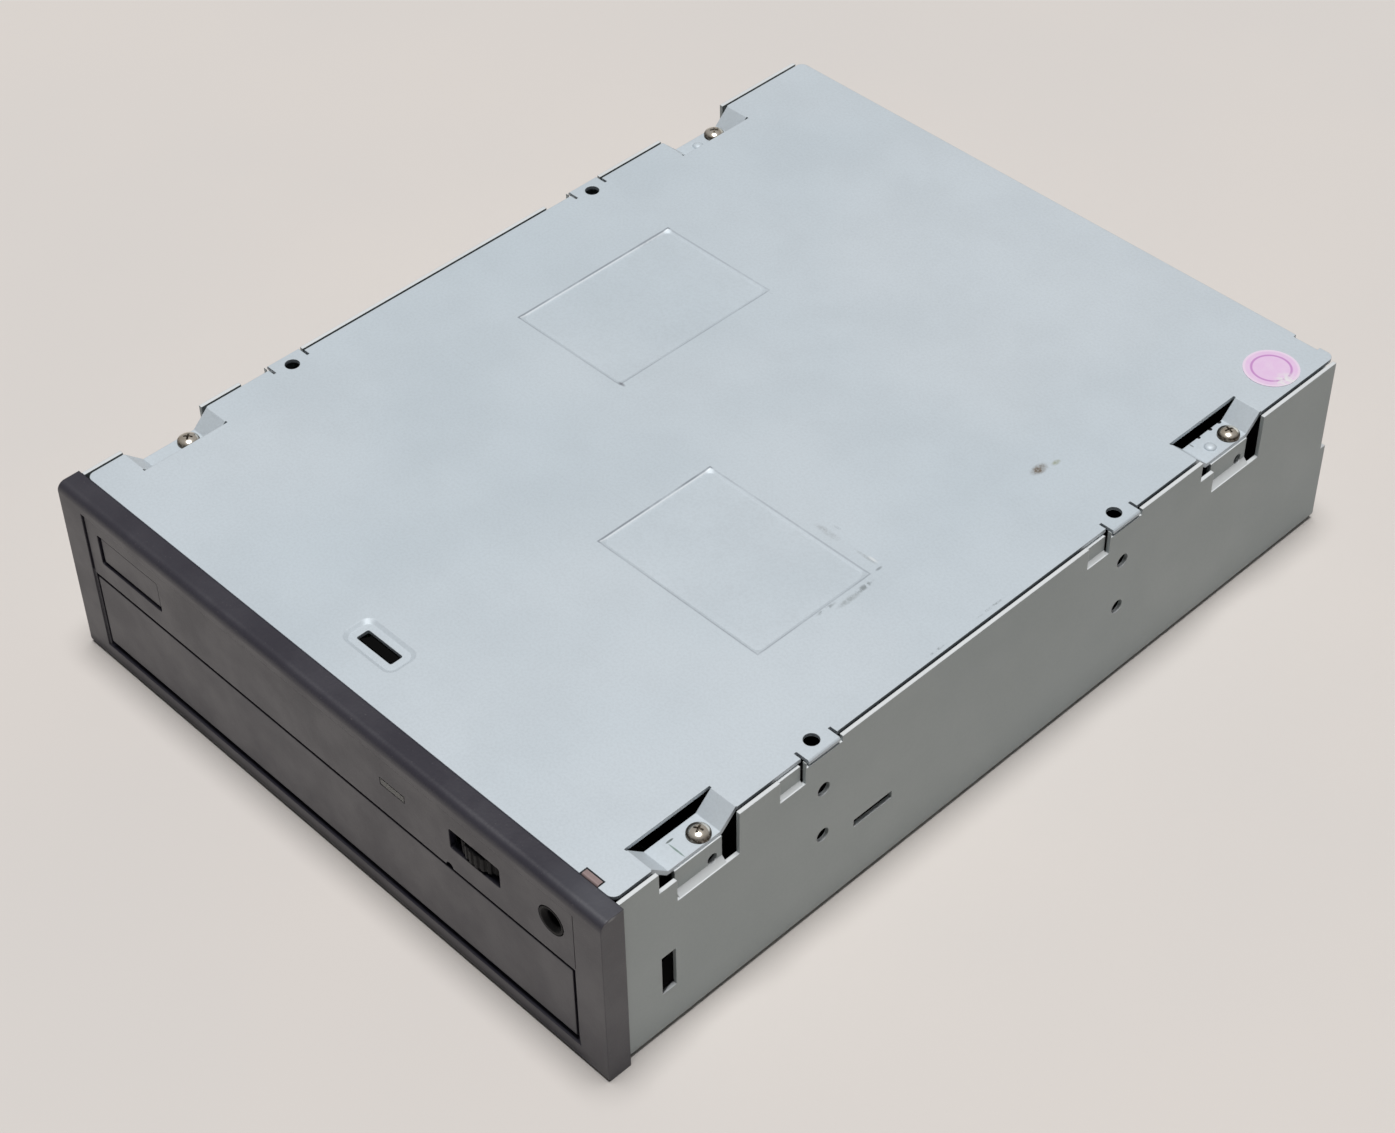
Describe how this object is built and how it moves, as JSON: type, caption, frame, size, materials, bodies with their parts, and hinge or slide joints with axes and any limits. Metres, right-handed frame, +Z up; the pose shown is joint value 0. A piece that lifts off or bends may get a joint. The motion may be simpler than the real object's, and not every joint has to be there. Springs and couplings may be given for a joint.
{
  "type": "cd-rom drive",
  "caption": "Half-height CD-ROM drive: sheet-metal case, dark bezel with loading tray, eject button, volume wheel and phones socket; loading drive, lift, spindle and pickup inside.",
  "frame": {"origin": "centre of the footprint, on the surface the drive lies on", "axes": "+Z up as the drive lies here, on its top cover with the bottom plate up; -Y out of the bezel, +X to the right seen from the front"},
  "size_m": [0.148, 0.1961, 0.0417],
  "materials": {
    "pale_zinc": "pale zinc-coated sheet",
    "zinc_wall": "grey zinc-coated sheet, seen in shade",
    "bright_steel": "bright plated screws",
    "steel": "plain steel",
    "bezel_plastic": "dark grey moulded plastic, fine texture",
    "button_plastic": "dark grey moulded plastic",
    "black_plastic": "black moulded plastic",
    "tray_plastic": "black moulded plastic",
    "gear_plastic": "natural white acetal",
    "clear_plastic": "clear moulded plastic",
    "board_green": "solder mask on glass-epoxy",
    "connector_plastic": "black connector plastic",
    "white_connector": "natural white connector plastic",
    "rubber": "black rubber",
    "chip": "black epoxy",
    "copper": "copper alloy spring",
    "pink_label": "pink paper disc",
    "ribbon": "flat cable",
    "optic": "coated lens"
  },
  "bodies": {
    "housing": {"top_cover": "zinc_wall", "bottom_plate": "pale_zinc", "cover_screws": "bright_steel", "inspection_disc": "pink_label", "ground_finger": "copper", "front_bezel": "bezel_plastic", "eject_switch": "black_plastic", "headphone_jack": "black_plastic", "volume_pot": "steel", "light_pipe": "clear_plastic", "busy_lamp": "clear_plastic", "front_board": "board_green", "loader_frame": "black_plastic", "loading_motor": "steel", "belt": "rubber", "clamp_bridge": "steel", "bridge_screws": "bright_steel", "main_board": "board_green", "board_chips": "chip", "board_screws": "bright_steel", "ide_header": "connector_plastic", "power_socket": "white_connector", "audio_socket": "white_connector", "jumper_block": "connector_plastic", "ribbon_cable": "ribbon", "ribbon_socket": "white_connector"},
    "tray": {"tray": "tray_plastic", "tray_door": "bezel_plastic"},
    "drive_gear": {"drive_gear": "gear_plastic"},
    "pulley_gear": {"pulley_gear": "gear_plastic"},
    "motor_pulley": {"motor_pulley": "gear_plastic"},
    "cam": {"cam_slider": "gear_plastic"},
    "lift": {"lift_frame": "black_plastic", "dampers": "rubber", "damper_screws": "bright_steel", "traverse_plate": "steel", "guide_rods": "bright_steel", "spindle_motor": "steel", "sled_motor": "steel"},
    "spindle": {"turntable": "black_plastic", "spindle_shaft": "steel"},
    "sled": {"pickup_sled": "black_plastic", "sled_nut": "gear_plastic"},
    "focus": {"lens_holder": "black_plastic", "lens": "optic"},
    "lead_screw": {"lead_screw": "bright_steel"},
    "clamp": {"clamp_puck": "black_plastic"},
    "eject_button": {"eject_button": "button_plastic", "switch_plunger": "white_connector"},
    "volume_wheel": {"volume_wheel": "black_plastic"}
  },
  "joints": [
    {"name": "tray_slide", "type": "slide", "parent": "housing", "child": "tray", "axis": [0, -1, 0], "range_m": [0, 0.138]},
    {"name": "drive_gear_spin", "type": "hinge", "parent": "housing", "child": "drive_gear", "pos_m": [-0.04388, -0.07295, 0.0147], "axis": [0, 0, 1], "range_deg": [-5, 995]},
    {"name": "pulley_gear_spin", "type": "hinge", "parent": "housing", "child": "pulley_gear", "pos_m": [-0.02384, -0.07895, 0.0145], "axis": [0, 0, 1], "range_deg": [-3310, 10]},
    {"name": "motor_pulley_spin", "type": "hinge", "parent": "housing", "child": "motor_pulley", "pos_m": [0.008, -0.07995, 0.0145], "axis": [0, 0, 1], "range_deg": [-11900, 20]},
    {"name": "lift_hinge", "type": "hinge", "parent": "housing", "child": "lift", "pos_m": [0, 0.06705, 0.0197], "axis": [1, 0, 0], "range_deg": [-3.12, 0]},
    {"name": "cam_slide", "type": "slide", "parent": "housing", "child": "cam", "axis": [1, 0, 0], "range_m": [-0.0001, 0.0131]},
    {"name": "spindle_spin", "type": "hinge", "parent": "lift", "child": "spindle", "pos_m": [0, -0.02095, 0.012], "axis": [0, 0, 1], "continuous": true},
    {"name": "sled_slide", "type": "slide", "parent": "lift", "child": "sled", "axis": [0, 1, 0], "range_m": [0, 0.034]},
    {"name": "lead_screw_spin", "type": "hinge", "parent": "lift", "child": "lead_screw", "pos_m": [0.03, 0.01705, 0.0223], "axis": [0, 1, 0], "range_deg": [-5, 4090]},
    {"name": "lens_focus", "type": "slide", "parent": "sled", "child": "focus", "axis": [0, 0, -1], "range_m": [-0.0005, 0.0005], "stiffness_N_per_m": 60},
    {"name": "clamp_spin", "type": "hinge", "parent": "housing", "child": "clamp", "pos_m": [0, -0.02095, 0.006], "axis": [0, 0, 1], "continuous": true},
    {"name": "eject_press", "type": "slide", "parent": "housing", "child": "eject_button", "axis": [0, 1, 0], "range_m": [0, 0.001], "stiffness_N_per_m": 500},
    {"name": "volume_turn", "type": "hinge", "parent": "housing", "child": "volume_wheel", "pos_m": [0.0424, -0.09015, 0.03145], "axis": [0, 0, 1], "range_deg": [-140, 140]}
  ],
  "couplings": [
    {"joint": "drive_gear_spin", "follows": "tray_slide", "rad_per_m": 125},
    {"joint": "pulley_gear_spin", "follows": "tray_slide", "rad_per_m": -416.67},
    {"joint": "motor_pulley_spin", "follows": "tray_slide", "rad_per_m": -1493.3},
    {"joint": "cam_slide", "follows": "lift_hinge", "m_per_rad": -0.23873},
    {"joint": "lead_screw_spin", "follows": "sled_slide", "rad_per_m": 2094.4}
  ]
}
